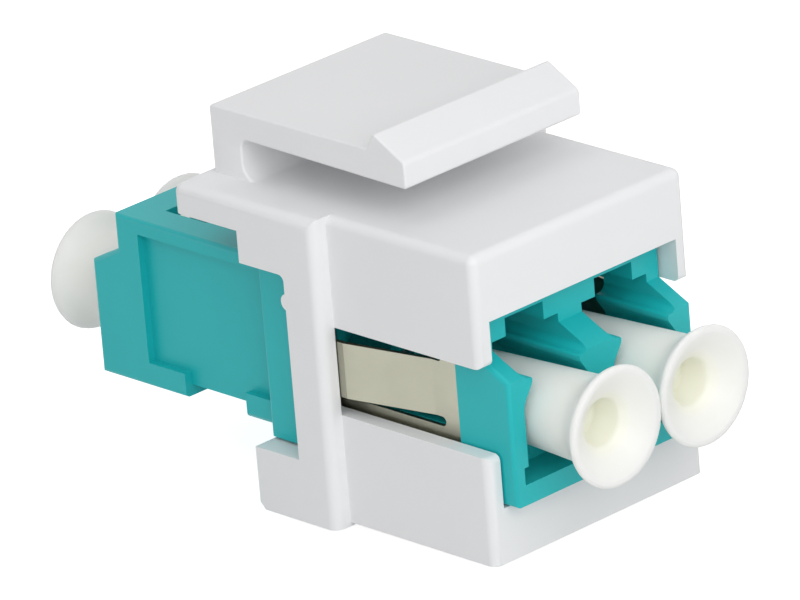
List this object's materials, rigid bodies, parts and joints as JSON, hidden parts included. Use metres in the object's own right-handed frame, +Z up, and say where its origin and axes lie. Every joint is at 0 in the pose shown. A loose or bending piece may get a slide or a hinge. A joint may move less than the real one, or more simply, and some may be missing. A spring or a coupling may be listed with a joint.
{
  "type": "keystone fibre coupler",
  "caption": "Keystone panel insert with a sprung latch arm that holds a duplex fibre coupler, with a metal spring clip and pull-out dust plugs.",
  "frame": {"origin": "middle of the lower edge of the keystone body's front face", "axes": "+X across the body to the right seen from the front, +Y from the front face to the rear along the ports, +Z up towards the latch arm"},
  "size_m": [0.0168, 0.0372, 0.0217],
  "materials": {
    "white_moulding": "satin",
    "aqua_moulding": "satin",
    "clip_steel": "satin",
    "sleeve_ceramic": "polished",
    "natural_plug": "translucent satin"
  },
  "bodies": {
    "coupler": {"keystone_housing": "white_moulding", "coupler_front_half": "aqua_moulding", "coupler_rear_half": "aqua_moulding", "spring_clip": "clip_steel", "split_sleeve_left": "sleeve_ceramic", "split_sleeve_right": "sleeve_ceramic"},
    "latch": {"latch_arm": "white_moulding"},
    "plug_front_left": {"dust_plug_front_left": "natural_plug"},
    "plug_front_right": {"dust_plug_front_right": "natural_plug"},
    "plug_rear_left": {"dust_plug_rear_left": "natural_plug"},
    "plug_rear_right": {"dust_plug_rear_right": "natural_plug"}
  },
  "joints": [
    {"name": "latch_press", "type": "hinge", "parent": "coupler", "child": "latch", "pos_m": [0, 0.0162, 0.01625], "axis": [1, 0, 0], "range_deg": [0, 8], "stiffness_Nm_per_rad": 0.5},
    {"name": "plug_front_left_pull", "type": "slide", "parent": "coupler", "child": "plug_front_left", "axis": [0, -1, 0], "range_m": [0, 0.012]},
    {"name": "plug_front_right_pull", "type": "slide", "parent": "coupler", "child": "plug_front_right", "axis": [0, -1, 0], "range_m": [0, 0.012]},
    {"name": "plug_rear_left_pull", "type": "slide", "parent": "coupler", "child": "plug_rear_left", "axis": [0, 1, 0], "range_m": [0, 0.012]},
    {"name": "plug_rear_right_pull", "type": "slide", "parent": "coupler", "child": "plug_rear_right", "axis": [0, 1, 0], "range_m": [0, 0.012]}
  ]
}
